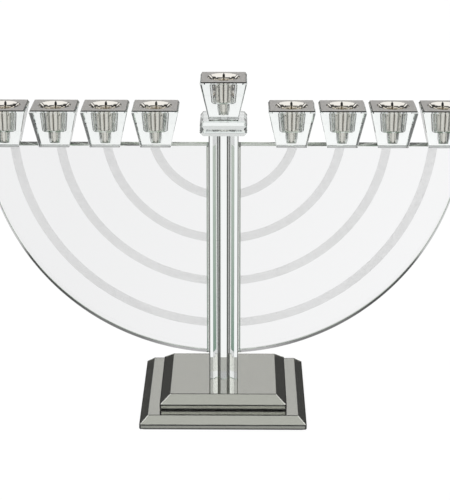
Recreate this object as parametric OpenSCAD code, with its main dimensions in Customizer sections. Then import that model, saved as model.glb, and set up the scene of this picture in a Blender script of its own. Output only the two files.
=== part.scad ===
// Nine-branch candle lamp in clear crystal: a two-tier bevelled mirror base, a fluted square pillar with a
// crystal collar, two glass half panels glued to the pillar's sides, and nine crystal cups with metal inserts.
// Millimetres, +Z up. The origin is at the middle of the base's underside, and the front faces -Y.

/* [Base] */
// Side of the lower mirror plate
lower_side = 125; // [115:1:140]
// Thickness of the lower mirror plate's glass
lower_glass_t = 9; // [7:0.5:10]
// Width of the lower plate's bevel, seen from above
lower_bevel_w = 6.0; // [4:0.5:8]
// Drop of the lower plate's bevel
lower_bevel_drop = 5.3; // [3:0.1:6]
// Side of the upper mirror plate
upper_side = 95.6; // [80:0.2:100]
// Thickness of the upper mirror plate's glass
upper_glass_t = 10; // [8:0.5:12]
// Width of the upper plate's bevel, seen from above
upper_bevel_w = 7.6; // [4:0.2:8]
// Drop of the upper plate's bevel
upper_bevel_drop = 5.8; // [3:0.1:7]
// Thickness of the silvering, paint and adhesive film under each plate
backing_t = 0.3; // [0.2:0.1:0.6]
// Thickness of the non-slip rubber sheet that the base rests on
pad_t = 0.5; // [0.5:0.5:3]
// How far the pad and the backings stay inside the glass edge
backing_inset = 1.0; // [0.5:0.5:4]

/* [Pillar and collar] */
// Side of the square pillar
pillar_side = 22; // [20:1:26]
// Height of the pillar
pillar_h = 194; // [180:1:210]
// Half width of the rib between the two flutes of a face
flute_from = 2.4; // [2:0.1:3]
// Distance from the middle to the deepest line of a flute
flute_apex = 3.7; // [3.5:0.1:6]
// Distance from the middle to the outer edge of a flute
flute_to = 8.0; // [7.5:0.1:9]
// Depth of the flutes in the front and back faces
flute_depth = 5.0; // [2:0.5:6]
// Chamfer on the pillar's four long edges
pillar_chamfer = 0.6; // [0.3:0.1:1.5]
// Side of the square collar
collar_side = 34.8; // [30:0.2:40]
// Height of the collar
collar_h = 11.4; // [9:0.2:14]
// Width of the collar's bevels, seen from above
collar_bevel_w = 2.2; // [1:0.1:3]
// Drop of the collar's bevels
collar_bevel_drop = 3.0; // [1:0.1:4]

/* [Panels] */
// Thickness of the glass panels
panel_t = 12; // [10:1:15]
// Radius of the panels' round edge
panel_r = 178.6; // [174:0.2:182]
// Height of the round edge's centre above the panels' straight top edge
panel_centre_rise = 13.7; // [8:0.1:20]
// Distance from the pillar's top down to the panels' top edge
panel_drop = 10; // [5:1:16]

/* [Cups] */
// Side of a crystal cup at its widest, near the top
cup_top_side = 34.4; // [33:0.2:36]
// Side of a crystal cup at its foot
cup_foot_side = 22.2; // [20:0.2:24]
// Height of a crystal cup
cup_h = 29; // [28:0.5:32]
// Chamfer round a cup's mouth
cup_chamfer = 1.2; // [0.5:0.1:1.2]
// Distance from the pillar's middle to the nearest cup's middle
first_cup_x = 50.2; // [46:0.2:52]
// Distance between neighbouring cups' middles
cup_pitch = 37.4; // [36.5:0.1:38]
// Number of cups on each side of the pillar
cups_per_side = 4; // [4:1:4]

/* [Metal inserts] */
// Side of an insert's square top plate
plate_side = 32.4; // [31:0.2:32.6]
// Thickness of the top plate
plate_t = 0.6; // [0.4:0.1:1]
// Radius of the hole in the top plate
mouth_r = 12; // [11:0.5:13]
// Outer radius of the bowl just below its mouth
bowl_top_r = 9.9; // [9:0.1:10.2]
// Outer radius of the bowl at its floor
bowl_floor_r = 8.7; // [8:0.1:9]
// Depth of the bowl's floor below the top plate
bowl_depth = 16.8; // [14:0.2:18]
// Inner radius of the candle socket
socket_r = 3.7; // [3:0.1:4.2]
// Length of the socket's straight part
socket_straight = 5; // [4:0.5:6]
// Length of the tapered grip below the straight part
socket_taper = 4; // [3:0.5:4]
// Wall thickness of the insert
insert_wall = 0.45; // [0.4:0.05:0.6]
// Gap between an insert and the crystal round it
insert_gap = 0.35; // [0.3:0.05:0.5]

/* [Hidden] */
$fn = 96;
eps = 0.01;

// heights of each level above the floor
lower_glass_z = pad_t + backing_t;
upper_backing_z = lower_glass_z + lower_glass_t;
upper_glass_z = upper_backing_z + backing_t;
pillar_z = upper_glass_z + upper_glass_t;
collar_z = pillar_z + pillar_h;
shamash_z = collar_z + collar_h;
panel_top_z = collar_z - panel_drop;

// one row per candle place: name, distance from the pillar's middle, height of the cup's foot
SIDES = [["left", -1], ["right", 1]];
PLACES = concat(
    [["shamash", 0, shamash_z]],
    [for (s = SIDES) for (i = [1 : cups_per_side])
        [str(s[0], "_", i), s[1] * (first_cup_x + (i - 1) * cup_pitch), panel_top_z]]
);

// ---- shapes shared by several pieces ----

// A block with four equal sloping sides: one side-on profile cut along X and along Y, so its corners are mitred.
module four_sided(profile, side) {
    intersection() {
        rotate([90, 0, 0]) linear_extrude(side + 2, center = true) polygon(profile);
        rotate([90, 0, 90]) linear_extrude(side + 2, center = true) polygon(profile);
    }
}

// A square glass plate with a bevel round its top face.
module bevelled_plate(side, thickness, bevel_w, bevel_drop) {
    half = side / 2;
    four_sided([
        [-half, 0], [half, 0], [half, thickness - bevel_drop], [half - bevel_w, thickness],
        [bevel_w - half, thickness], [-half, thickness - bevel_drop]
    ], side);
}

// A thin square sheet that lies under a plate.
module sheet(side, thickness) {
    translate([-side / 2, -side / 2, 0]) cube([side, side, thickness]);
}

// Half of an insert's outer section, grown by a gap: top plate's underside at 0, downwards to the socket's foot.
function insert_outline(gap) =
    let (floor_z = -bowl_depth,
         neck_r = socket_r + insert_wall,
         straight_z = floor_z - socket_straight,
         foot_z = straight_z - socket_taper)
    [
        [0, 0], [mouth_r + gap, 0], [bowl_top_r + gap, -2], [bowl_floor_r + gap, floor_z + 1.4],
        [bowl_floor_r - 0.9 + gap, floor_z - gap], [neck_r + gap, floor_z - gap], [neck_r + gap, straight_z],
        [neck_r - 0.9 + gap, foot_z - gap], [0, foot_z - gap]
    ];

// Half of the hollow inside an insert: the wide bowl, then the straight socket and its tapered grip.
function insert_hollow() =
    let (floor_z = insert_wall - bowl_depth,
         straight_z = floor_z - socket_straight,
         foot_z = -bowl_depth - socket_straight - socket_taper + insert_wall)
    [
        [0, plate_t + 1], [mouth_r, plate_t + 1], [mouth_r, plate_t], [mouth_r - 0.6, -0.2],
        [bowl_top_r - insert_wall, -2.2], [bowl_floor_r - insert_wall, floor_z + 1.2],
        [bowl_floor_r - 0.9 - insert_wall, floor_z], [socket_r, floor_z], [socket_r, straight_z],
        [socket_r - 0.9, foot_z], [0, foot_z]
    ];

// ---- base ----

module base_pad() {
    color("#2b2b2e") sheet(lower_side - 2 * backing_inset, pad_t);
}

module lower_mirror_backing() {
    color("#8d9092") translate([0, 0, pad_t]) sheet(lower_side - 2 * backing_inset, backing_t);
}

module lower_base_plate() {
    color("#a3a299") translate([0, 0, lower_glass_z])
        bevelled_plate(lower_side, lower_glass_t, lower_bevel_w, lower_bevel_drop);
}

module upper_mirror_backing() {
    color("#8d9092") translate([0, 0, upper_backing_z]) sheet(upper_side - 2 * backing_inset, backing_t);
}

module upper_base_plate() {
    color("#a5a89e") translate([0, 0, upper_glass_z])
        bevelled_plate(upper_side, upper_glass_t, upper_bevel_w, upper_bevel_drop);
}

// ---- pillar and collar ----

// The V-shaped notch of one flute, with its open side on the front face.
module flute(side) {
    front = -pillar_side / 2;
    polygon([
        [side * flute_from, front], [side * flute_from, front - 1], [side * flute_to, front - 1],
        [side * flute_to, front], [side * flute_apex, front + flute_depth]
    ]);
}

module pillar() {
    half = pillar_side / 2;
    inner = half - pillar_chamfer;
    color("#dfe9e4") translate([0, 0, pillar_z]) linear_extrude(pillar_h)
        difference() {
            polygon([
                [-inner, -half], [inner, -half], [half, -inner], [half, inner],
                [inner, half], [-inner, half], [-half, inner], [-half, -inner]
            ]);
            for (turn = [0, 180]) for (side = [-1, 1]) rotate(turn) flute(side);
        }
}

module collar() {
    half = collar_side / 2;
    inner = half - collar_bevel_w;
    color("#d6dfda") translate([0, 0, collar_z]) four_sided([
        [-inner, 0], [inner, 0], [half, collar_bevel_drop], [half, collar_h - collar_bevel_drop],
        [inner, collar_h], [-inner, collar_h], [-half, collar_h - collar_bevel_drop], [-half, collar_bevel_drop]
    ], collar_side);
}

// ---- panels ----

// The part of a disc that lies beside the pillar and below the straight top edge.
module half_panel(side) {
    near = pillar_side / 2;
    translate([0, panel_t / 2, panel_top_z + panel_centre_rise]) rotate([90, 0, 0]) linear_extrude(panel_t)
        intersection() {
            circle(panel_r, $fn = 180);
            translate([side > 0 ? near : -near - panel_r, -panel_centre_rise - panel_r]) square(panel_r);
        }
}

module left_panel() {
    color("#e6ebe8") half_panel(-1);
}

module right_panel() {
    color("#e6ebe8") half_panel(1);
}

// ---- cups and their metal inserts ----

module crystal_cup(x, z) {
    top = cup_top_side / 2;
    foot = cup_foot_side / 2;
    color("#eef2f0") translate([x, 0, z]) difference() {
        four_sided([
            [-foot, 0], [foot, 0], [top, cup_h - cup_chamfer], [top - cup_chamfer, cup_h],
            [cup_chamfer - top, cup_h], [-top, cup_h - cup_chamfer]
        ], cup_top_side);
        translate([0, 0, cup_h]) rotate_extrude() polygon(insert_outline(insert_gap));
        translate([0, 0, cup_h - eps]) cylinder(h = 1, r = mouth_r + insert_gap);
    }
}

module metal_insert(x, z) {
    color("#a5a09c") translate([x, 0, z + cup_h]) difference() {
        union() {
            translate([-plate_side / 2, -plate_side / 2, 0]) cube([plate_side, plate_side, plate_t]);
            rotate_extrude() polygon(insert_outline(0));
        }
        rotate_extrude() polygon(insert_hollow());
    }
}

base_pad();
lower_mirror_backing();
lower_base_plate();
upper_mirror_backing();
upper_base_plate();
pillar();
collar();
left_panel();
right_panel();
for (p = PLACES) {
    crystal_cup(p[1], p[2]);
    metal_insert(p[1], p[2]);
}
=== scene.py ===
# %% [markdown]
# # A crystal menorah
# Nine candle cups of clear crystal stand on two glass half panels and on a fluted pillar, over a two-tier
# mirror base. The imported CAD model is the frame: it says how big every part is and where it stands. This
# script gives each part its polished edges and its finish, and sets up the studio round it.

# %% Load the frame
import math

import bmesh
import bpy
from mathutils import Matrix, Vector


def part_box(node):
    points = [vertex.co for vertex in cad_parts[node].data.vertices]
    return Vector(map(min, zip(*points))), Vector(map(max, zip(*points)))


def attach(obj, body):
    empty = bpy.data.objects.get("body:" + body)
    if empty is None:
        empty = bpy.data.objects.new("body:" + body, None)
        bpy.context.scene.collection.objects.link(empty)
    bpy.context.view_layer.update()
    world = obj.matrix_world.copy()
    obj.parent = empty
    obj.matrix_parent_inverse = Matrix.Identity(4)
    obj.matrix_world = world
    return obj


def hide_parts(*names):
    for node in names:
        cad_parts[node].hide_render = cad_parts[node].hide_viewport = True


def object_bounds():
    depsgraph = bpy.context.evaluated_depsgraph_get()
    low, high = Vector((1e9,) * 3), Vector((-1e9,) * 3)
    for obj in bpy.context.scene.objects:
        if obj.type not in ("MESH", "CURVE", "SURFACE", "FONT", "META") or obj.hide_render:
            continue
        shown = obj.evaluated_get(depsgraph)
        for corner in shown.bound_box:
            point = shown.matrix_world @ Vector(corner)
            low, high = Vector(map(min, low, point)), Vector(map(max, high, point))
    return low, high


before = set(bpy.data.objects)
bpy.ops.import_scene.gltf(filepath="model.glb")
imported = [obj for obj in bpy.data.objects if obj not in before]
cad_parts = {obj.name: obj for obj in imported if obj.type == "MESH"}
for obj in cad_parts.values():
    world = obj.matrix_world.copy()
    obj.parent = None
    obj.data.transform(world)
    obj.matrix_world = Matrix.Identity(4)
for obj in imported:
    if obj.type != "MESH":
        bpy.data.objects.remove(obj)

MM = 0.001
cad_low, cad_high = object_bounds()
cad_size = cad_high - cad_low
print("the CAD box is", [round(side * 1000, 1) for side in cad_size], "mm")

# %% [markdown]
# ## The camera
# Glass and mirrors change with every degree of the view, so the camera is set before any material. It could
# stand close with a wide lens, but then the outer cups would lean more. So it stands well over a metre away
# with a long lens, looks down at a gentle angle, and isn't shifted.

# %% Camera
VIEW_DISTANCE = 1.336
VIEW_AZIMUTH = math.radians(0.51)
VIEW_ELEVATION = math.radians(18.74)
LENS_MM = 126.9
SENSOR_MM = 36
AIM_SIDE = 1 * MM  # how far right of the middle the camera aims
AIM_SHARE = 0.4740  # how far up the object the camera aims

aim = Vector((AIM_SIDE, 0, cad_low.z + AIM_SHARE * cad_size.z))
away = Vector((
    math.sin(VIEW_AZIMUTH) * math.cos(VIEW_ELEVATION),
    -math.cos(VIEW_AZIMUTH) * math.cos(VIEW_ELEVATION),
    math.sin(VIEW_ELEVATION),
))
camera = bpy.data.objects.new("camera", bpy.data.cameras.new("camera"))
camera.data.lens = LENS_MM
camera.data.sensor_width = SENSOR_MM
camera.location = aim + away * VIEW_DISTANCE
camera.rotation_euler = (-away).to_track_quat("-Z", "Y").to_euler()
bpy.context.scene.collection.objects.link(camera)
bpy.context.scene.camera = camera
print("the camera stands", round(camera.location.length, 2), "m away")

# %% [markdown]
# ## Small helpers for meshes
# Polished glass is flat faces that meet in thin ground edges. Such a piece could be a cube with a Bevel
# modifier, but its bevels would all be alike. Almost every piece here is a stack of rings with the same
# number of points instead, because each ring can have its own size, and one function closes any such stack.

# %% Objects
def link(name, mesh, materials):
    """A new object at the origin that shows this mesh."""
    piece = bpy.data.objects.new(name, mesh)
    for material in materials:
        mesh.materials.append(material)
    bpy.context.scene.collection.objects.link(piece)
    return piece


def place(mesh, x, y, z):
    """Moves the mesh itself, so that its object can stay at the origin."""
    mesh.transform(Matrix.Translation((x, y, z)))
    return mesh


def report(name, mesh):
    print(name, "has", len(mesh.polygons), "faces")

# %% Faces that point outwards
def outward(mesh, weld=0.0):
    """Points the faces outwards, after points nearer than weld have become one."""
    shape = bmesh.new()
    shape.from_mesh(mesh)
    if weld:
        bmesh.ops.remove_doubles(shape, verts=shape.verts, dist=weld)
    bmesh.ops.recalc_face_normals(shape, faces=shape.faces)
    shape.to_mesh(mesh)
    shape.free()


def soften(mesh, sharp_degrees=25):
    """Shades the mesh smooth over all but its sharp edges."""
    mesh.shade_smooth()
    mesh.set_sharp_from_angle(angle=math.radians(sharp_degrees))

# %% Rings and stacks
def square_ring(half, corner, z, per_side=2):
    """Points round a square with cut corners, evenly spaced along each side."""
    points = []
    flat = half - corner
    for turn in range(4):
        c, s = round(math.cos(turn * math.pi / 2)), round(math.sin(turn * math.pi / 2))
        for step in range(per_side):
            along = -flat + 2 * flat * step / (per_side - 1)
            points.append((half * c - along * s, half * s + along * c, z))
    return points


def wall_faces(first, second, count):
    """The faces between two rings, given by the number of each ring's first point."""
    faces = []
    for i in range(count):
        j = (i + 1) % count
        faces.append((first + i, first + j, second + j, second + i))
    return faces


def closed_stack(rings):
    """A mesh through these rings in order, closed by a flat face at both ends."""
    count = len(rings[0])
    points = [point for ring in rings for point in ring]
    faces = [tuple(range(count))[::-1], tuple(range(len(points) - count, len(points)))]
    for first in range(0, len(points) - count, count):
        faces += wall_faces(first, first + count, count)
    mesh = bpy.data.meshes.new("stack")
    mesh.from_pydata(points, [], faces)
    outward(mesh)
    soften(mesh)
    return mesh


print("a plain square ring has", len(square_ring(1, 0.1, 0)), "points")

# %% [markdown]
# ## Finishes
# No polished, pressed or moulded surface is quite even. The unevenness could be painted as a picture, but a
# picture needs unwrapping and has an end. A noise on the piece's own coordinates is laid in metres instead,
# so that it has the same grain on every piece, and it varies the roughness or raises a slight bump.

# %% Node helpers
NOISE_LOW, NOISE_HIGH = 0.3, 0.7  # the part of a noise's range that it really fills


def new_material(name, colour):
    """A material of one colour, with its nodes, its links and its shader."""
    material = bpy.data.materials.new(name)
    material.use_nodes = True
    nodes, links = material.node_tree.nodes, material.node_tree.links
    shader = nodes["Principled BSDF"]
    shader.inputs["Base Color"].default_value = (*colour, 1)
    return material, nodes, links, shader


def noise(nodes, links, scale):
    """A noise on the piece's own coordinates, in metres."""
    where = nodes.new("ShaderNodeTexCoord")
    texture = nodes.new("ShaderNodeTexNoise")
    texture.inputs["Scale"].default_value = scale
    texture.inputs["Detail"].default_value = 4
    links.new(where.outputs["Object"], texture.inputs["Vector"])
    return texture.outputs["Fac"]


def vary(nodes, links, socket, scale, low, high):
    """Lets a socket follow a noise from low to high."""
    node = nodes.new("ShaderNodeMapRange")
    node.inputs["From Min"].default_value = NOISE_LOW
    node.inputs["From Max"].default_value = NOISE_HIGH
    node.inputs["To Min"].default_value = low
    node.inputs["To Max"].default_value = high
    links.new(noise(nodes, links, scale), node.inputs["Value"])
    links.new(node.outputs["Result"], socket)


def bump(nodes, links, shader, scale, distance, strength):
    """Raises a slight bump that follows a noise."""
    node = nodes.new("ShaderNodeBump")
    node.inputs["Distance"].default_value = distance
    node.inputs["Strength"].default_value = strength
    links.new(noise(nodes, links, scale), node.inputs["Height"])
    links.new(node.outputs["Normal"], shader.inputs["Normal"])

# %% [markdown]
# The glass is clear, with a faint green that only shows where light travels a long way through it. A green
# surface colour would tint thin and thick glass alike, so the green is an absorption in the volume and the
# surface stays nearly white. The cups and pillar, the panels and the base are three melts of it.

# %% Glass
GLASS_IOR = 1.52


def glass(name, surface, tint, density):
    material, nodes, links, shader = new_material(name, surface)
    shader.inputs["Transmission Weight"].default_value = 1
    shader.inputs["Roughness"].default_value = 0
    shader.inputs["IOR"].default_value = GLASS_IOR
    if density:
        absorption = nodes.new("ShaderNodeVolumeAbsorption")
        absorption.inputs["Color"].default_value = (*tint, 1)
        absorption.inputs["Density"].default_value = density
        links.new(absorption.outputs["Volume"], nodes["Material Output"].inputs["Volume"])
    return material


crystal = glass("polished crystal", (0.97, 0.98, 0.975), (0.55, 0.85, 0.75), 2)
panel_glass = glass("float glass", (0.955, 0.95, 0.965), (0.72, 0.82, 0.68), 6)
base_glass = glass("base glass", (0.97, 0.97, 0.95), (0.75, 0.86, 0.75), 3)
print("the glasses are", [m.name for m in (crystal, panel_glass, base_glass)])

# %% [markdown]
# Sandblasting leaves a thin white bloom on the glass. The glass itself could be made rough there, but rough
# glass over a white studio goes grey and grainy. The bloom is a pale matt skin that lets most light
# through, and its grain is a fine noise in how much it hides.

# %% Sandblasting
def sandblasted():
    material, nodes, links, shader = new_material("sandblasted glass", (0.80, 0.80, 0.78))
    shader.inputs["Roughness"].default_value = 0.85
    vary(nodes, links, shader.inputs["Alpha"], 1500, 0.10, 0.14)
    return material


etched = sandblasted()
print("made", etched.name)

# %% [markdown]
# The silver under the base is a mirror seen from inside the glass. Its flat parts, its bevels and its edges
# could share one silver, but the polished bevels of such a base show darker than its flats, so the front and
# back bevels and the upright bands get darker silvers, which are painted shade. The inserts are thin plated
# sheet: the square top keeps a satin grain, and the bowl is bright. A near-black metal paints shade on the
# inserts' rims and creases.

# %% Silver and plated metal
def metal(name, colour, rough_low, rough_high, scale, grain):
    material, nodes, links, shader = new_material(name, colour)
    shader.inputs["Metallic"].default_value = 1
    vary(nodes, links, shader.inputs["Roughness"], scale, rough_low, rough_high)
    bump(nodes, links, shader, scale * 2, 0.1 * MM, grain)
    return material


silvering = metal("silvering", (0.86, 0.86, 0.82), 0.01, 0.03, 200, 0)
# painted shade: darker copies of the silvering, for the front and back bevels and the silver's upright bands
shaded_bevel_silver = metal("silver with painted bevel shade", (0.41, 0.42, 0.38), 0.01, 0.03, 200, 0)
shaded_edge_silver = metal("silver with painted edge shade", (0.34, 0.35, 0.32), 0.01, 0.03, 200, 0)
bright = metal("bright plated metal", (0.90, 0.87, 0.81), 0.03, 0.08, 600, 0.03)
satin = metal("satin plated metal", (0.76, 0.74, 0.71), 0.34, 0.48, 1300, 0.45)
# painted shade: a near-black metal for the inserts' rims, undersides and crease lines
shade_metal = metal("metal with painted shade", (0.05, 0.05, 0.05), 0.3, 0.5, 1500, 0.1)
print("the metals are", [m.name for m in (silvering, shaded_bevel_silver, shaded_edge_silver, bright, satin, shade_metal)])

# %% [markdown]
# Two dark, dull finishes hide under and inside the glass: the rubber sheet that the base stands on, and a
# dark paint on the silver's upright bands, which is painted shade for the dark lines along the base's edges.
# Plain black would do for both, but the rubber can be seen at the foot of the base, so it gets a moulded
# grain.

# %% Rubber and paint
def dark_dull(name, colour, scale, rough_low, rough_high, grain):
    material, nodes, links, shader = new_material(name, colour)
    vary(nodes, links, shader.inputs["Roughness"], scale, rough_low, rough_high)
    if grain:
        bump(nodes, links, shader, scale * 2, 0.2 * MM, grain)
    return material


rubber = dark_dull("black rubber", (0.02, 0.02, 0.021), 900, 0.6, 0.85, 0.5)
# painted shade: a dark paint for the lines along the silver's borders
paint = dark_dull("dark paint for painted shade lines", (0.03, 0.032, 0.03), 700, 0.45, 0.6, 0)
print("the dark finishes are", [m.name for m in (rubber, paint)])

# %% [markdown]
# ## The mirror base
# Each tier is a plate of mirror glass with a bevel round its top and polished sides. A cube with a bevel
# would do, but the bevels are wider than they are deep, and every tier has its own. So each plate is four
# square rings: two for the thin ground edge at the foot, one at the bevel's foot and one at its top.

# %% Base plates
BOND = 0.02 * MM  # how far two bonded pieces run into each other
ARRIS = 0.4 * MM  # the thin ground edge along every polished corner
# foot_shade_line is the height of the painted shade line at a tier's foot
BASE = {
    "lower": {"bevel_w": 6.0 * MM, "bevel_drop": 5.3 * MM, "foot_shade_line": 0},
    "upper": {"bevel_w": 7.6 * MM, "bevel_drop": 5.8 * MM, "foot_shade_line": 0.9 * MM},
}


def base_plate(tier):
    low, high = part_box(f"{tier}_base_plate")
    half = high.x
    bevel = BASE[tier]
    mesh = closed_stack([
        square_ring(half - ARRIS, ARRIS, low.z),
        square_ring(half, ARRIS, low.z + ARRIS),
        square_ring(half, ARRIS, high.z - bevel["bevel_drop"]),
        square_ring(half - bevel["bevel_w"], ARRIS, high.z),
    ])
    piece = link(f"{tier}_base_glass", mesh, [base_glass])
    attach(piece, "lamp_stand")
    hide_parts(f"{tier}_base_plate")
    report(piece.name, mesh)


for tier, bevel in BASE.items():
    lean = math.degrees(math.atan2(bevel["bevel_drop"], bevel["bevel_w"]))
    print("the", tier, "plate's bevel leans", round(lean), "degrees")

# %% [markdown]
# On the real base the silver is a film on the underside, and the glass over it shows it again in every
# bevel. A film alone gives the bevels no tone of their own. So the silver is a closed body: it starts in the
# film's own place and rises inside the glass, with facets just under the polished faces.
# It meets the glass with no gap of air. Dark paint along the facets' borders is painted shade, which draws
# the dark lines along the base's edges. The upright bands between those lines and the front and back bevels
# take darker silvers, which are painted shade as well.

# %% The silver under the glass
UNDER = 0.8 * MM  # how deep the silver lies under each face
SHADE_LINE_HEIGHT = 0.9 * MM  # the height of the painted shade line below the bevel
UPRIGHT = 0.5  # a face is upright when its normal rises less than this
BARE, SHADE_PAINT, BEVEL_SHADE, EDGE_SHADE = range(4)  # the silver's materials, in order


def silver_sheet(tier):
    low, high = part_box(f"{tier}_mirror_backing")
    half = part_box(f"{tier}_base_plate")[1].x
    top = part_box(f"{tier}_base_plate")[1].z
    width, drop = BASE[tier]["bevel_w"], BASE[tier]["bevel_drop"]
    out, up = drop / math.hypot(width, drop), width / math.hypot(width, drop)
    side = half - UNDER
    shoulder = top - drop - UNDER * (1 - out) / up
    crown = half - width - UNDER * (1 - up) / out
    foot = high.z + 2 * BOND + BASE[tier]["foot_shade_line"]
    section = [
        (half - ARRIS, low.z + BOND), (half - ARRIS, high.z + BOND), (side, high.z + BOND), (side, foot),
        (side, shoulder - SHADE_LINE_HEIGHT), (side, shoulder), (crown, top - UNDER),
    ]
    mesh = closed_stack([square_ring(reach, ARRIS, z) for reach, z in section])
    piece = link(f"{tier}_silvering", mesh, [silvering, paint, shaded_bevel_silver, shaded_edge_silver])
    # painted shade: the front and back bevels and the upright bands take darker silvers, and the bands'
    # borders take dark paint
    for face in mesh.polygons:
        if abs(face.normal.z) < UPRIGHT:
            between_lines = foot < face.center.z < shoulder - SHADE_LINE_HEIGHT
            face.material_index = EDGE_SHADE if between_lines else SHADE_PAINT
        elif abs(face.normal.y) > UPRIGHT:
            face.material_index = BEVEL_SHADE
    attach(piece, "lamp_stand")
    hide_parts(f"{tier}_mirror_backing")
    report(piece.name, mesh)


for tier in BASE:
    base_plate(tier)
    silver_sheet(tier)

# %% [markdown]
# The whole lamp stands on a thin sheet of black rubber, which keeps the glass off the table. A flat plane
# would hardly show the difference, but a closed sheet with softened edges catches the light along its rim.

# %% Base pad
PAD_CORNER = 2 * MM
PAD_SOFT = 0.2 * MM


def base_pad():
    low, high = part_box("base_pad")
    mesh = closed_stack([
        square_ring(high.x - PAD_SOFT, PAD_CORNER, low.z),
        square_ring(high.x, PAD_CORNER, low.z + PAD_SOFT),
        square_ring(high.x, PAD_CORNER, high.z - PAD_SOFT),
        square_ring(high.x - PAD_SOFT, PAD_CORNER, high.z - BOND),
    ])
    piece = link("base_rubber", mesh, [rubber])
    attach(piece, "lamp_stand")
    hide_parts("base_pad")
    report(piece.name, mesh)


base_pad()

# %% [markdown]
# ## Pillar and collar
# The pillar is a square column with two deep V-shaped flutes down its front and two down its back. They
# could be cut out of a box with booleans, but the section is the same all the way up. So it is drawn once,
# as one outline, and raised to its height. The flutes' sloping walls bend the view sideways into the ends
# of the panels, which is where the pillar's green bands come from.

# %% The pillar's section
FLUTE_FROM = 2.4 * MM
FLUTE_APEX = 3.7 * MM
FLUTE_TO = 8.0 * MM
FLUTE_DEPTH = 5.0 * MM
PILLAR_CHAMFER = 0.6 * MM


def pillar_section(half, z):
    """The front's points from left to right, then the same points turned half round for the back."""
    inner = half - PILLAR_CHAMFER
    face = [
        (-inner, -half), (-FLUTE_TO, -half), (-FLUTE_APEX, FLUTE_DEPTH - half), (-FLUTE_FROM, -half),
        (FLUTE_FROM, -half), (FLUTE_APEX, FLUTE_DEPTH - half), (FLUTE_TO, -half), (inner, -half),
    ]
    front = [(-half, -inner), *face, (half, -inner)]
    back = [(-x, -y) for x, y in front]
    return [(x, y, z) for x, y in front + back]


print("the pillar's section has", len(pillar_section(1, 0)), "corners")

# %% [markdown]
# The flutes' steep walls and the pillar's cut corners get a dark, dull finish, painted shade that draws them
# as thin dark lines. Left polished, they would pick up whatever stands beside them and break up. The finish
# also has a faint painted glow for the light that scatters inside the pillar.

# %% The pillar
STEEP = 0.8  # how far sideways a wall faces when it is steep
CUT_LOW, CUT_HIGH = 0.5, 0.9  # how far sideways a cut corner faces


def painted_dark_lines():
    material, nodes, links, shader = new_material("dark lines with painted shade and glow", (0.10, 0.10, 0.095))
    shader.inputs["Emission Color"].default_value = (0.075, 0.078, 0.072, 1)
    shader.inputs["Emission Strength"].default_value = 1
    vary(nodes, links, shader.inputs["Roughness"], 900, 0.5, 0.7)
    return material


def pillar():
    low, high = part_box("pillar")
    mesh = closed_stack([pillar_section(high.x, low.z + BOND), pillar_section(high.x, high.z - BOND)])
    piece = link("fluted_pillar", mesh, [crystal, painted_dark_lines()])
    # painted shade and painted glow: the steep flute walls and the cut corners take the dark lines
    for face in mesh.polygons:
        middle, across = abs(face.center.x), abs(face.normal.x)
        steep = FLUTE_FROM < middle < FLUTE_APEX and across > STEEP
        corner = middle > high.x - PILLAR_CHAMFER and CUT_LOW < across < CUT_HIGH
        face.material_index = int(steep or corner)
    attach(piece, "lamp_stand")
    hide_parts("pillar")
    report(piece.name, mesh)


pillar()

# %% [markdown]
# The collar is a square block on the pillar's head, bevelled above and below. It could be one mesh with the
# pillar, but it is a piece of its own on the bench, glued on, so it stays one here and its bevels are
# rings.

# %% Collar
COLLAR_BEVEL_W = 2.2 * MM
COLLAR_BEVEL_DROP = 3.0 * MM


def collar():
    low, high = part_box("collar")
    half = high.x
    inner = half - COLLAR_BEVEL_W
    mesh = closed_stack([
        square_ring(inner, ARRIS, low.z),
        square_ring(half, ARRIS, low.z + COLLAR_BEVEL_DROP),
        square_ring(half, ARRIS, high.z - COLLAR_BEVEL_DROP),
        square_ring(inner, ARRIS, high.z),
    ])
    piece = link("bevelled_collar", mesh, [crystal])
    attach(piece, "lamp_stand")
    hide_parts("collar")
    report(piece.name, mesh)


collar()

# %% [markdown]
# ## The half panels
# Each panel is a piece of a disc, cut straight beside the pillar and along the top. A cylinder with two
# cuts would give the shape and lose the ground edge. So the outline is worked out from the disc's centre
# and used four times from front to back, drawn in by the ground edge on the two outer rings.

# %% Panels
CENTRE_RISE = 13.7 * MM  # how far the disc's centre lies above the panel
PANEL_ARRIS = 0.5 * MM
ROUND_STEPS = 160


def panel_outline(side, near, top, centre, radius, inset, y):
    """The corner by the pillar, the top edge's far corner, then the round edge back to the pillar."""
    near, top, radius = near + inset, top - inset, radius - inset
    start = math.asin((top - centre) / radius)
    end = -math.acos(near / radius)
    points = [(side * near, y, top)]
    for step in range(ROUND_STEPS + 1):
        angle = start + (end - start) * step / ROUND_STEPS
        points.append((side * radius * math.cos(angle), y, centre + radius * math.sin(angle)))
    return points


def half_panel(name, side):
    low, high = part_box(name)
    near = min(abs(low.x), abs(high.x)) - BOND
    centre = high.z + CENTRE_RISE
    radius = math.hypot(near, centre - low.z)
    depths = [
        (low.y, PANEL_ARRIS), (low.y + PANEL_ARRIS, 0), (high.y - PANEL_ARRIS, 0), (high.y, PANEL_ARRIS),
    ]
    mesh = closed_stack([
        panel_outline(side, near, high.z, centre, radius, inset, y) for y, inset in depths
    ])
    piece = link(f"{name}_glass", mesh, [panel_glass])
    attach(piece, "lamp_stand")
    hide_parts(name)
    report(piece.name, mesh)


half_panel("left_panel", -1)
half_panel("right_panel", 1)

# %% [markdown]
# The end of each panel that meets the pillar is ground, not polished, and gathers the light that the panel
# leads to it. Tracing that light through the whole panel would take very long and stay grainy. So the
# ground end is a thin skin that glows a little by itself, greyer above, and greener and darker below.

# %% The ground ends' painted glow
GLOW_LOW = (0.17, 0.25, 0.205)
GLOW_HIGH = (0.44, 0.47, 0.43)


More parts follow.
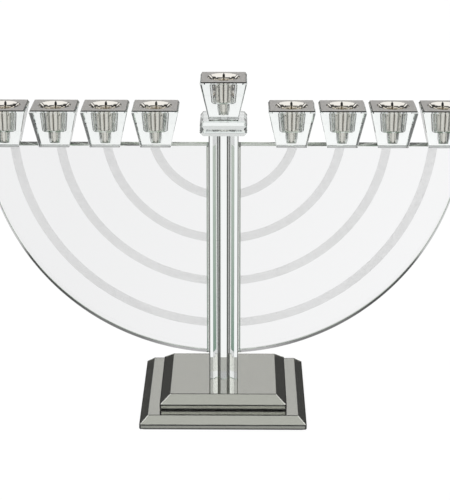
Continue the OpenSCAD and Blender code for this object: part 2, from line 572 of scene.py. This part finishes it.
def painted_end_glow():
    material, nodes, links, shader = new_material("ground end with painted glow", (0.25, 0.30, 0.27))
    shader.inputs["Roughness"].default_value = 0.8
    where = nodes.new("ShaderNodeTexCoord")
    axes = nodes.new("ShaderNodeSeparateXYZ")
    links.new(where.outputs["Object"], axes.inputs[0])
    height = nodes.new("ShaderNodeMapRange")
    height.inputs["From Min"].default_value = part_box("left_panel")[0].z
    height.inputs["From Max"].default_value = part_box("left_panel")[1].z
    links.new(axes.outputs["Z"], height.inputs["Value"])
    # painted glow: the end glows greyer above, and greener and darker below
    glow = nodes.new("ShaderNodeMix")
    glow.data_type = "RGBA"
    glow.inputs[6].default_value = (*GLOW_LOW, 1)
    glow.inputs[7].default_value = (*GLOW_HIGH, 1)
    links.new(height.outputs["Result"], glow.inputs[0])
    links.new(glow.outputs[2], shader.inputs["Emission Color"])
    shader.inputs["Emission Strength"].default_value = 1
    return material


end_glow = painted_end_glow()
print("made", end_glow.name)

# %% The ground ends
def upright(section, low_z, high_z):
    """A straight prism from a plan section."""
    return closed_stack([[(x, y, z) for x, y in section] for z in (low_z, high_z)])


def glowing_end(name, side):
    low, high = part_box(name)
    outer = side * (min(abs(low.x), abs(high.x)) - 2 * BOND)
    inner = outer - side * BOND
    deep = high.y - PANEL_ARRIS
    mesh = upright([(outer, -deep), (inner, -deep), (inner, deep), (outer, deep)],
                   low.z + PANEL_ARRIS, high.z - PANEL_ARRIS)
    piece = link(f"{name}_glowing_end", mesh, [end_glow])
    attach(piece, "lamp_stand")
    report(piece.name, mesh)


print("each ground end is", round(BOND / MM, 2), "mm thick")

# %% [markdown]
# A bead of clear adhesive fills the corner between each panel and the pillar, front and back. Poured
# adhesive has a hollow face, but at under two millimetres across a flat one looks the same, so a bead is a
# long prism.

# %% Adhesive beads, and both panels' ends
BEAD = 1.8 * MM
adhesive = glass("clear adhesive", (0.9, 0.9, 0.88), (1, 1, 1), 0)


def beads(name, side):
    low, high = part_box(name)
    near = min(abs(low.x), abs(high.x)) - BOND
    for turn, label in ((-1, "front"), (1, "back")):
        face = turn * (high.y - BOND)
        section = [(side * near, face), (side * (near + BEAD), face), (side * near, face + turn * BEAD)]
        mesh = upright(section, low.z + BEAD, high.z - PANEL_ARRIS)
        piece = link(f"{name}_{label}_bead", mesh, [adhesive])
        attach(piece, "lamp_stand")
        report(piece.name, mesh)


for name, side in (("left_panel", -1), ("right_panel", 1)):
    glowing_end(name, side)
    beads(name, side)

# %% [markdown]
# ## The sandblasted arcs
# Four rings of a constant width run round the disc's centre, cut off by the top edge and by the pillar.
# They could be four curves with a profile, but all four follow one rule, so a Geometry Nodes tree draws
# them: it bends one flat grid for each ring. These helpers build that tree and the one for the inserts.

# %% Tree helpers
def new_tree(name, inputs):
    """An empty tree with a Geometry output and these named inputs."""
    tree = bpy.data.node_groups.new(name, "GeometryNodeTree")
    tree.interface.new_socket("Geometry", in_out="OUTPUT", socket_type="NodeSocketGeometry")
    tree.interface.new_socket("Geometry", in_out="INPUT", socket_type="NodeSocketGeometry")
    for label, kind in inputs.items():
        tree.interface.new_socket(label, in_out="INPUT", socket_type=f"NodeSocket{kind}")
    return tree, tree.nodes.new("NodeGroupInput").outputs, tree.nodes.new("NodeGroupOutput").inputs


def plug(tree, value, socket):
    """Links a socket, or sets a number."""
    if isinstance(value, bpy.types.NodeSocket):
        tree.links.new(value, socket)
    else:
        socket.default_value = value


def step(tree, kind, inputs, **settings):
    """Adds a node, sets it up and feeds it. Returns its outputs."""
    node = tree.nodes.new(kind)
    for key, value in settings.items():
        setattr(node, key, value)
    for key, value in inputs.items():
        plug(tree, value, node.inputs[key])
    return node.outputs


def calc(tree, operation, a, b=0.0):
    """One sum of two values."""
    return step(tree, "ShaderNodeMath", {0: a, 1: b}, operation=operation)[0]


def finish_tree(tree, geometry, material, result):
    """Ends a tree: real faces in place of copies, and one material."""
    whole = step(tree, "GeometryNodeRealizeInstances", {"Geometry": geometry})
    painted = step(tree, "GeometryNodeSetMaterial", {"Geometry": whole[0], "Material": material})
    tree.links.new(painted[0], result[0])
    print(tree.name, "has", len(tree.nodes), "nodes")
    return tree

# %% Run a tree
def run_tree(piece, tree, values):
    """Puts the tree on the piece, sets its inputs by identifier and returns the finished mesh."""
    modifier = piece.modifiers.new(tree.name, "NODES")
    modifier.node_group = tree
    for item in tree.interface.items_tree:
        if item.in_out == "INPUT" and item.name in values:
            modifier[item.identifier] = values[item.name]
    ready = piece.evaluated_get(bpy.context.evaluated_depsgraph_get())
    mesh = bpy.data.meshes.new_from_object(ready)
    piece.modifiers.remove(modifier)
    return mesh

# %% The arcs' tree
ARC_COLUMNS, ARC_ROWS = 97, 3  # the points along and across one arc


def arc_tree():
    tree, given, result = new_tree("Concentric arcs", {
        "Bands": "Int", "First radius": "Float", "Pitch": "Float", "Width": "Float",
        "Near": "Float", "Rise": "Float", "Side": "Float", "Material": "Material",
    })
    grid = step(tree, "GeometryNodeMeshGrid", {
        "Size X": 1.0, "Size Y": 1.0, "Vertices X": ARC_COLUMNS, "Vertices Y": ARC_ROWS,
    })
    bundle = step(tree, "GeometryNodeGeometryToInstance", {"Geometry": grid["Mesh"]})
    copies = step(tree, "GeometryNodeDuplicateElements",
                  {"Geometry": bundle[0], "Amount": given["Bands"]}, domain="INSTANCE")
    marked = step(tree, "GeometryNodeStoreNamedAttribute",
                  {"Geometry": copies["Geometry"], "Name": "band", "Value": copies["Duplicate Index"]},
                  data_type="FLOAT", domain="INSTANCE")
    loose = step(tree, "GeometryNodeRealizeInstances", {"Geometry": marked["Geometry"]})
    # each point knows its arc, how far along it is and how far across
    spot = step(tree, "ShaderNodeSeparateXYZ", {0: step(tree, "GeometryNodeInputPosition", {})[0]})
    band = step(tree, "GeometryNodeInputNamedAttribute", {"Name": "band"}, data_type="FLOAT")["Attribute"]
    middle = calc(tree, "ADD", given["First radius"], calc(tree, "MULTIPLY", band, given["Pitch"]))
    radius = calc(tree, "ADD", middle, calc(tree, "MULTIPLY", spot["Y"], given["Width"]))
    # the arc runs from the top edge to the pillar
    top = calc(tree, "MULTIPLY", calc(tree, "ARCSINE", calc(tree, "DIVIDE", given["Rise"], radius)), -1.0)
    foot = calc(tree, "MULTIPLY", calc(tree, "ARCCOSINE", calc(tree, "DIVIDE", given["Near"], radius)), -1.0)
    share = calc(tree, "ADD", spot["X"], 0.5)
    angle = calc(tree, "ADD", top, calc(tree, "MULTIPLY", share, calc(tree, "SUBTRACT", foot, top)))
    x = calc(tree, "MULTIPLY", given["Side"], calc(tree, "MULTIPLY", radius, calc(tree, "COSINE", angle)))
    z = calc(tree, "MULTIPLY", radius, calc(tree, "SINE", angle))
    bent = step(tree, "ShaderNodeCombineXYZ", {"X": x, "Z": z})[0]
    moved = step(tree, "GeometryNodeSetPosition", {"Geometry": loose[0], "Position": bent})
    return finish_tree(tree, moved[0], given["Material"], result)


arcs = arc_tree()

# %% [markdown]
# Each panel's arcs come out of the tree as a flat sheet. It could be laid on the glass as it is, but an
# open sheet has no inside. Solidify gives it a thickness far too small to see, and it stands a hair off the
# glass, so that the two never share a face.

# %% Etch both panels
ARC_BANDS = 4
ARC_FIRST = 54 * MM
ARC_PITCH = 34.1 * MM
ARC_WIDTH = 6.8 * MM
FROST_GAP = 0.02 * MM
FROST_SKIN = 0.04 * MM


def etching(name, side):
    low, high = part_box(name)
    near = min(abs(low.x), abs(high.x)) + PANEL_ARRIS
    blank = link("blank", bpy.data.meshes.new("blank"), [])
    mesh = run_tree(blank, arcs, {
        "Bands": ARC_BANDS, "First radius": ARC_FIRST, "Pitch": ARC_PITCH, "Width": ARC_WIDTH,
        "Near": near, "Rise": CENTRE_RISE + PANEL_ARRIS, "Side": float(side), "Material": etched,
    })
    bpy.data.objects.remove(blank)
    place(mesh, 0, high.y + FROST_GAP, high.z + CENTRE_RISE)
    flat = link(f"{name}_etching", mesh, [])
    skin = flat.modifiers.new("skin", "SOLIDIFY")
    skin.thickness = FROST_SKIN
    skin.offset = 0
    solid = bpy.data.meshes.new_from_object(flat.evaluated_get(bpy.context.evaluated_depsgraph_get()))
    flat.modifiers.clear()
    flat.data = solid
    outward(solid)
    soften(solid)
    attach(flat, "lamp_stand")
    report(flat.name, solid)


etching("left_panel", -1)
etching("right_panel", 1)

# %% [markdown]
# ## The crystal cups
# A cup is an upside-down pyramid with its point cut off and a stepped hollow for the insert. The hollow
# could be cut out with a boolean, which leaves long thin faces that show in glass. So the rings run up the
# outside, over the mouth and down into the hollow, and the whole cup is one closed skin.

# %% Cup shape
CUP_TOP, CUP_FOOT, CUP_H, CUP_CHAMFER = 17.2 * MM, 11.1 * MM, 29 * MM, 1.2 * MM
FOOT_ARRIS = 0.3 * MM
PER_SIDE = 25  # points along each side, so that the square can turn into a circle
GAP = 0.35 * MM  # the air between the hollow and the insert
# the insert's own section, from the mouth down: radius and depth below the mouth, in millimetres
HOLLOW = [
    (12, 0), (9.9, 2), (8.7, 15.4), (8.45, 16.2), (7.8, 16.8), (4.15, 16.8), (4.15, 21.8), (3.25, 25.8),
]
FUNNEL = 2  # down to this depth the gap only runs sideways


def round_ring(like, radius, z):
    """A circle whose points lie in the same directions as another ring's points."""
    points = []
    for x, y, _ in like:
        reach = math.hypot(x, y)
        points.append((x / reach * radius, y / reach * radius, z))
    return points


def cup_mesh():
    slope = (CUP_TOP - CUP_FOOT) / (CUP_H - CUP_CHAMFER)
    outside = [
        (CUP_FOOT - FOOT_ARRIS, -BOND),
        (CUP_FOOT + slope * FOOT_ARRIS, FOOT_ARRIS),
        (CUP_TOP, CUP_H - CUP_CHAMFER),
        (CUP_TOP - CUP_CHAMFER, CUP_H),
    ]
    rings = [square_ring(half, ARRIS, z, PER_SIDE) for half, z in outside]
    for radius, depth in HOLLOW:
        below = GAP if depth > FUNNEL else 0
        rings.append(round_ring(rings[0], radius * MM + GAP, CUP_H - depth * MM - below))
    return closed_stack(rings)


cup_master = cup_mesh()
report("a crystal cup", cup_master)

# %% [markdown]
# ## The metal inserts
# An insert is pressed from thin sheet: a bowl with sharp creases, and a narrow socket below it for a
# candle. It could be sculpted, but all nine are alike and the creases follow a rule. So the bowl is first a
# plain turned shape, its section spun round the middle, with its columns of points gathered where the
# creases will be.

# %% The bowl's section
SPIN_STEPS = 180
CREASES = 6
GATHER = 0.7  # how closely the columns of points gather at the creases
WALL_STEPS = 10  # points up the bowl's side wall
WALL_RISE, WALL_LEAN = 13.1, 1.2  # how far the side wall goes up and out, in millimetres


def side_wall(radius, z):
    """The side wall's points from its lower end, in millimetres."""
    shares = [k / WALL_STEPS for k in range(WALL_STEPS + 1)]
    return [(radius + WALL_LEAN * share, z + WALL_RISE * share) for share in shares]


def bowl_section():
    """The insert's section in millimetres, down the outside and back up the inside."""
    outside = [(12.5, 0.05), (12.0, -0.1), (11.2, -0.7), (10.4, -1.5), *reversed(side_wall(8.7, -15.4))]
    outside += [(8.4, -16.2), (7.7, -16.75), (4.6, -16.8), (4.15, -17.2), (4.15, -21.8)]
    outside += [(3.25, -25.8), (0.01, -25.8)]
    inside = [(0.01, -25.35), (2.8, -25.35), (3.7, -21.35), (3.7, -16.9), (4.0, -16.4), (7.5, -16.3)]
    inside += [(8.0, -15.9), *side_wall(8.25, -15.3)]
    inside += [(9.9, -1.4), (10.7, -0.5), (11.4, 0.2), (12.0, 0.55), (12.5, 0.55)]
    return outside + inside


print("the insert's section has", len(bowl_section()), "points")

# %% The turned bowl
def wrapped(name, rings):
    """A mesh through these rings in order and back to the first."""
    count = len(rings[0])
    points = [point for ring in rings for point in ring]
    faces = []
    for k in range(len(rings)):
        faces += wall_faces(k * count, (k + 1) % len(rings) * count, count)
    mesh = bpy.data.meshes.new(name)
    mesh.from_pydata(points, [], faces)
    return mesh


def turned(section):
    """The section spun round the middle, and closed where it meets the middle."""
    rings = []
    for k in range(SPIN_STEPS):
        even = 2 * math.pi * k / SPIN_STEPS
        turn = even + GATHER * math.sin(CREASES * even) / CREASES
        rings.append([(r * MM * math.cos(turn), r * MM * math.sin(turn), z * MM) for r, z in section])
    mesh = wrapped("bowl", rings)
    outward(mesh, weld=0.002 * MM)
    return mesh


plain_bowl = turned(bowl_section())
report("a plain bowl", plain_bowl)

# %% [markdown]
# A press pushes the creases into the real bowl. Here a Geometry Nodes tree does the same: it pulls the wall
# inwards along twelve sharp lines, six deep and six half as deep between them. The deep ones run out over
# the rim and the shallow ones fade out below it. All of them fade out at the bowl's floor, so that the
# socket stays round.

# %% The flutes' tree
def flute_tree():
    tree, given, result = new_tree("Pressed flutes", {
        "Count": "Float", "Depth": "Float", "Width": "Float", "Low": "Float", "Main top": "Float",
        "Main fade": "Float", "Minor top": "Float", "Fade": "Float", "Material": "Material",
    })
    spot = step(tree, "ShaderNodeSeparateXYZ", {0: step(tree, "GeometryNodeInputPosition", {})[0]})
    turn = calc(tree, "ARCTAN2", spot["Y"], spot["X"])
    swing = calc(tree, "MULTIPLY", turn, calc(tree, "MULTIPLY", given["Count"], 0.5))

    def fade(start, reach):
        return step(tree, "ShaderNodeMapRange", {
            "Value": spot["Z"], "From Min": start, "From Max": calc(tree, "ADD", start, reach),
        }, interpolation_type="SMOOTHSTEP")["Result"]

    def creases(wave, depth, top, reach):
        lobe = calc(tree, "DIVIDE", calc(tree, "ABSOLUTE", wave), given["Width"])
        line = calc(tree, "MAXIMUM", calc(tree, "SUBTRACT", 1.0, lobe), 0.0)
        below_top = fade(top, calc(tree, "MULTIPLY", reach, -1.0))
        return calc(tree, "MULTIPLY", calc(tree, "MULTIPLY", line, depth), below_top)

    main = creases(calc(tree, "COSINE", swing), given["Depth"], given["Main top"], given["Main fade"])
    half_depth = calc(tree, "MULTIPLY", given["Depth"], 0.5)
    minor = creases(calc(tree, "SINE", swing), half_depth, given["Minor top"], given["Fade"])
    above_low = fade(given["Low"], given["Fade"])
    pull = calc(tree, "MULTIPLY", calc(tree, "ADD", main, minor), above_low)
    inwards = calc(tree, "MULTIPLY", pull, -1.0)
    offset = step(tree, "ShaderNodeCombineXYZ", {
        "X": calc(tree, "MULTIPLY", calc(tree, "COSINE", turn), inwards),
        "Y": calc(tree, "MULTIPLY", calc(tree, "SINE", turn), inwards),
    })[0]
    pressed = step(tree, "GeometryNodeSetPosition", {"Geometry": given["Geometry"], "Offset": offset})
    return finish_tree(tree, pressed[0], given["Material"], result)


flutes = flute_tree()

# %% Press the flutes
FLUTING = {
    "Count": float(CREASES), "Depth": 1.2 * MM, "Width": 0.3, "Low": -16.9 * MM, "Main top": 0.9 * MM,
    "Main fade": 0.3 * MM, "Minor top": -1.5 * MM, "Fade": 2.0 * MM, "Material": bright,
}
CREASE_DEGREES = 50  # edges sharper than this stay sharp


def fluted(mesh):
    blank = link("blank", mesh, [bright])
    pressed = run_tree(blank, flutes, FLUTING)
    bpy.data.objects.remove(blank)
    soften(pressed, CREASE_DEGREES)
    return pressed


bowl_master = fluted(plain_bowl)
report("a fluted bowl", bowl_master)

# %% [markdown]
# The square top plate has a round hole for the bowl, and its outer edge is turned down a little over the
# cup. A flat plate with Solidify would do for the hole but not for the edge. So its rings start under the
# turned-down edge, cross the top, go down the hole and come back to the first ring.

# %% Top plate
MOUTH = 12 * MM
PLATE_CORNER = 0.45 * MM
# the outer edge, from the underside outwards and up: how far it reaches past the plate's half width, and its
# height, in millimetres
EDGE = [(-0.18, 0.02), (0.26, -0.40), (0.32, -0.38), (0.02, 0.48), (-0.12, 0.60)]
# the hole's edge, from the top down: how far it reaches past the mouth, and its height, in millimetres
HOLE = [(0.25, 0.60), (0.10, 0.48), (0.10, 0.02)]


def plate_mesh(half):
    rings = [square_ring(half + past * MM, PLATE_CORNER, z * MM, PER_SIDE) for past, z in EDGE]
    for past, z in HOLE:
        rings.append(round_ring(rings[0], MOUTH + past * MM, z * MM))
    mesh = wrapped("plate", rings)
    outward(mesh)
    soften(mesh)
    return mesh


insert_low, insert_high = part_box("shamash_insert")
top_plate = plate_mesh((insert_high.x - insert_low.x) / 2)
report("a top plate", top_plate)

# %% [markdown]
# Bowl and plate are one pressing on the real insert, so both meshes become one. The satin only covers what
# looks up: the plate's rim and underside get a near-black metal that paints shade there, and so does a thin
# line at the bottom of each deep crease. Those faces could be picked by hand, but a test on where they look
# and where they lie does it for all nine at once.

# %% One insert from bowl and plate
LOOKS_UP = 0.6  # a face looks up when its normal rises more than this
CREASE_SHADE = 0.10  # how wide the painted shade line along each deep crease is
CREASE_LOW = -16 * MM  # the painted shade lines end above the bowl's floor
BRIGHT, SATIN, PAINTED_SHADE = range(3)  # the insert's materials, in order


def in_shaded_crease(face):
    middle = face.calc_center_median()
    turn = math.atan2(middle.y, middle.x)
    return abs(math.cos(CREASES / 2 * turn)) < CREASE_SHADE and middle.z > CREASE_LOW


def joined(bowl, plate):
    shape = bmesh.new()
    shape.from_mesh(bowl)
    split = len(shape.faces)
    shape.from_mesh(plate)
    shape.faces.ensure_lookup_table()
    # painted shade: plate faces that don't look up, and the lines along the deep creases, take the
    # near-black metal
    for face in shape.faces[split:]:
        face.material_index = SATIN if face.normal.z > LOOKS_UP else PAINTED_SHADE
    for face in shape.faces[:split]:
        face.material_index = PAINTED_SHADE if in_shaded_crease(face) else BRIGHT
    mesh = bpy.data.meshes.new("insert")
    shape.to_mesh(mesh)
    shape.free()
    return mesh


insert_master = joined(bowl_master, top_plate)
report("a whole insert", insert_master)

# %% [markdown]
# ## Nine cups and nine inserts
# The raised middle cup holds the light that kindles the others, and four cups stand on each panel. Linked
# copies would share one mesh, but a finished piece here has its place in its mesh and its object at the
# origin. So every place gets copies of its own: the cup rides on the stand, and the insert on its own body.

# %% Put a cup and an insert at each place
PLACES = ["shamash"] + [f"{side}_{number}" for side in ("left", "right") for number in (1, 2, 3, 4)]


def cup_and_insert(name):
    low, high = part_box(f"{name}_cup")
    x = (low.x + high.x) / 2
    cup = link(f"{name}_crystal", place(cup_master.copy(), x, 0, low.z), [crystal])
    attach(cup, "lamp_stand")
    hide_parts(f"{name}_cup")
    insert = link(f"{name}_metal", place(insert_master.copy(), x, 0, high.z), [bright, satin, shade_metal])
    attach(insert, f"{name}_insert_body")
    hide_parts(f"{name}_insert")


for name in PLACES:
    cup_and_insert(name)
print(len(PLACES), "cups are in place")

# %% [markdown]
# ## The studio
# The lamp stands on a plain pale sweep. A real white floor would need strong lamps to come out even, and
# clear glass would then mirror it everywhere. So the floor glows evenly by itself, and only the camera sees
# it: what the glass shows comes from the room that is drawn next.

# %% Floor
FLOOR_HALF = 3.0
FLOOR_THICK = 0.02
FLOOR_CORNER = 0.5
FLOOR_GLOW = 0.93


def floor():
    rings = [square_ring(FLOOR_HALF, FLOOR_CORNER, z) for z in (-FLOOR_THICK, 0.0)]
    material, _, _, shader = new_material("pale floor", (0.12, 0.12, 0.12))
    shader.inputs["Roughness"].default_value = 1
    shader.inputs["Specular IOR Level"].default_value = 0
    shader.inputs["Emission Color"].default_value = (1, 1, 1, 1)
    shader.inputs["Emission Strength"].default_value = FLOOR_GLOW
    ground = link("floor", closed_stack(rings), [material])
    ground.visible_transmission = False
    ground.visible_glossy = False
    print("the floor is", 2 * FLOOR_HALF, "m square")


floor()

# %% [markdown]
# Clear glass and mirrors show only what is round them, so the room is drawn with care. It could be built of
# white and black cards, as studios do for glass, but each card would show wherever it isn't wanted. The
# room is drawn in the world's own shader instead, as greys that follow height and side, in three layers.
# Light that only passed through glass sees a nearly white room with dark sides. Light that was mirrored
# once sees a pale floor, grey walls and a white ceiling, with dark corners that draw the dark lines. Light
# that was mirrored more often sees broad light and dark bands.

# %% Nodes for light
def sum_node(nodes, links, operation, first, second):
    """One sum of two values, each a socket or a number."""
    node = nodes.new("ShaderNodeMath")
    node.operation = operation
    for socket, value in zip(node.inputs, (first, second)):
        if isinstance(value, bpy.types.NodeSocket):
            links.new(value, socket)
        else:
            socket.default_value = value
    return node.outputs[0]


def grey_band(nodes, links, value, stops):
    """A grey that follows value, with its stops given between -1 and 1."""
    scaled = nodes.new("ShaderNodeMapRange")
    scaled.inputs["From Min"].default_value = -1
    links.new(value, scaled.inputs["Value"])
    node = nodes.new("ShaderNodeValToRGB")
    band = node.color_ramp
    while len(band.elements) < len(stops):
        band.elements.new(0.5)
    for element, (spot, grey) in zip(band.elements, stops):
        element.position = (spot + 1) / 2
        element.color = (grey, grey, grey, 1)
    links.new(scaled.outputs["Result"], node.inputs["Fac"])
    return node.outputs["Color"]


def mixed(nodes, links, kind, factor, first, second):
    """A mix of two colour sockets."""
    node = nodes.new("ShaderNodeMix")
    node.data_type = "RGBA"
    node.blend_type = kind
    if isinstance(factor, bpy.types.NodeSocket):
        links.new(factor, node.inputs[0])
    else:
        node.inputs[0].default_value = factor
    links.new(first, node.inputs[6])
    links.new(second, node.inputs[7])
    return node.outputs[2]

# %% The room's greys
# by height: -1 is straight down, 0 is level and 1 is straight up
STRAIGHT_UP = [(-0.02, 1.0), (0.10, 0.75), (0.75, 0.75), (0.92, 1.0)]
CEILING_UP = [(0.50, 0.0), (0.58, 1.0)]
WALLS_UP = [(-0.05, 0.0), (0.0, 0.16), (0.14, 0.16), (0.22, 0.43), (0.45, 0.43), (0.49, 0.08)]
FLOOR_UP = [(-0.30, 0.75), (-0.05, 0.60), (0.0, 0.0)]
OFTEN_UP = [(-0.40, 0.85), (-0.20, 0.65), (-0.10, 0.2), (0.0, 0.10), (0.15, 0.10), (0.30, 0.9), (0.90, 1.0)]
# by side: -1 is left and 1 is right
STRAIGHT_SIDE = [(-0.92, 0.2), (-0.72, 0.93), (-0.10, 0.94), (0.10, 1.0), (0.72, 1.0), (0.92, 0.2)]
CEILING_SIDE = [(-0.78, 0.05), (-0.66, 1.0), (0.66, 1.0), (0.78, 0.05)]
WALLS_SIDE = [
    (-0.6, 0.1), (-0.42, 0.35), (-0.20, 0.35), (-0.12, 1.0),
    (0.12, 1.0), (0.20, 0.35), (0.42, 0.35), (0.6, 0.1),
]
FLOOR_SIDE = [(-0.87, 0.1), (-0.76, 1.0), (0.76, 1.0), (0.87, 0.1)]
OFTEN_SIDE = [(-0.75, 0.05), (-0.55, 1.0), (0.55, 1.0), (0.75, 0.05)]
print("the ceiling starts", CEILING_UP[0][0], "of the way up")

# %% The room round the lamp
MIRRORED_ONCE = 1.5
MIRRORED_OFTEN = 2.5


def studio():
    world = bpy.data.worlds.new("studio")
    world.use_nodes = True
    bpy.context.scene.world = world
    nodes, links = world.node_tree.nodes, world.node_tree.links
    path = nodes.new("ShaderNodeLightPath")
    # how often the light was mirrored, and one more, because the world counts as a step too
    turns = sum_node(nodes, links, "SUBTRACT", path.outputs["Ray Depth"], path.outputs["Transmission Depth"])
    mirrored = sum_node(nodes, links, "GREATER_THAN", turns, MIRRORED_ONCE)
    often = sum_node(nodes, links, "GREATER_THAN", turns, MIRRORED_OFTEN)
    where = nodes.new("ShaderNodeTexCoord")
    axes = nodes.new("ShaderNodeSeparateXYZ")
    links.new(where.outputs["Generated"], axes.inputs[0])

    def tone(up_stops, side_stops):
        """A grey that follows both height and side."""
        by_height = grey_band(nodes, links, axes.outputs["Z"], up_stops)
        by_side = grey_band(nodes, links, axes.outputs["X"], side_stops)
        return mixed(nodes, links, "MULTIPLY", 1.0, by_height, by_side)

    lower_room = mixed(nodes, links, "LIGHTEN", 1.0, tone(FLOOR_UP, FLOOR_SIDE), tone(WALLS_UP, WALLS_SIDE))
    once_room = mixed(nodes, links, "LIGHTEN", 1.0, lower_room, tone(CEILING_UP, CEILING_SIDE))
    mirrored_room = mixed(nodes, links, "MIX", often, once_room, tone(OFTEN_UP, OFTEN_SIDE))
    room = mixed(nodes, links, "MIX", mirrored, tone(STRAIGHT_UP, STRAIGHT_SIDE), mirrored_room)
    links.new(room, nodes["Background"].inputs["Color"])
    print("the studio has", len(nodes), "nodes")


studio()

# %% [markdown]
# Two soft lamps light the dull parts, such as the sandblasted arcs, the pillar's dark lines and the rubber:
# a sheet overhead and a tall window on the left. Glass and metal would mirror them as hard white boxes, so
# they are kept out of every reflection.

# %% Softboxes
LAMP_AIM = Vector((0, 0, 0.15))


def softbox(name, spot, size, watts):
    lamp = bpy.data.lights.new(name, "AREA")
    lamp.shape = "RECTANGLE"
    lamp.size, lamp.size_y = size
    lamp.energy = watts
    box = bpy.data.objects.new(name, lamp)
    box.location = spot
    box.rotation_euler = (LAMP_AIM - Vector(spot)).to_track_quat("-Z", "Y").to_euler()
    box.visible_camera = False
    box.visible_glossy = False
    box.visible_transmission = False
    bpy.context.scene.collection.objects.link(box)
    print(name, "gives", watts, "W")


softbox("overhead sheet", (0, -0.2, 1.6), (1.6, 1.2), 5)
softbox("left window", (-1.3, -1.0, 0.9), (0.3, 1.0), 2)

# %% [markdown]
# Light has to pass many faces to get through a cup and its hollow, and a ray that is cut short leaves a
# black spot. So light may bounce more often than Blender lets it by itself. The colours go to the picture
# unchanged, because a film look would grey the white sweep.

# %% How glass is traced
GLASS_BOUNCES = 24
MIRROR_BOUNCES = 16

scene = bpy.context.scene
scene.view_settings.view_transform = "Standard"
scene.cycles.max_bounces = GLASS_BOUNCES
scene.cycles.transmission_bounces = GLASS_BOUNCES
scene.cycles.glossy_bounces = MIRROR_BOUNCES
print("light may bounce", scene.cycles.max_bounces, "times")
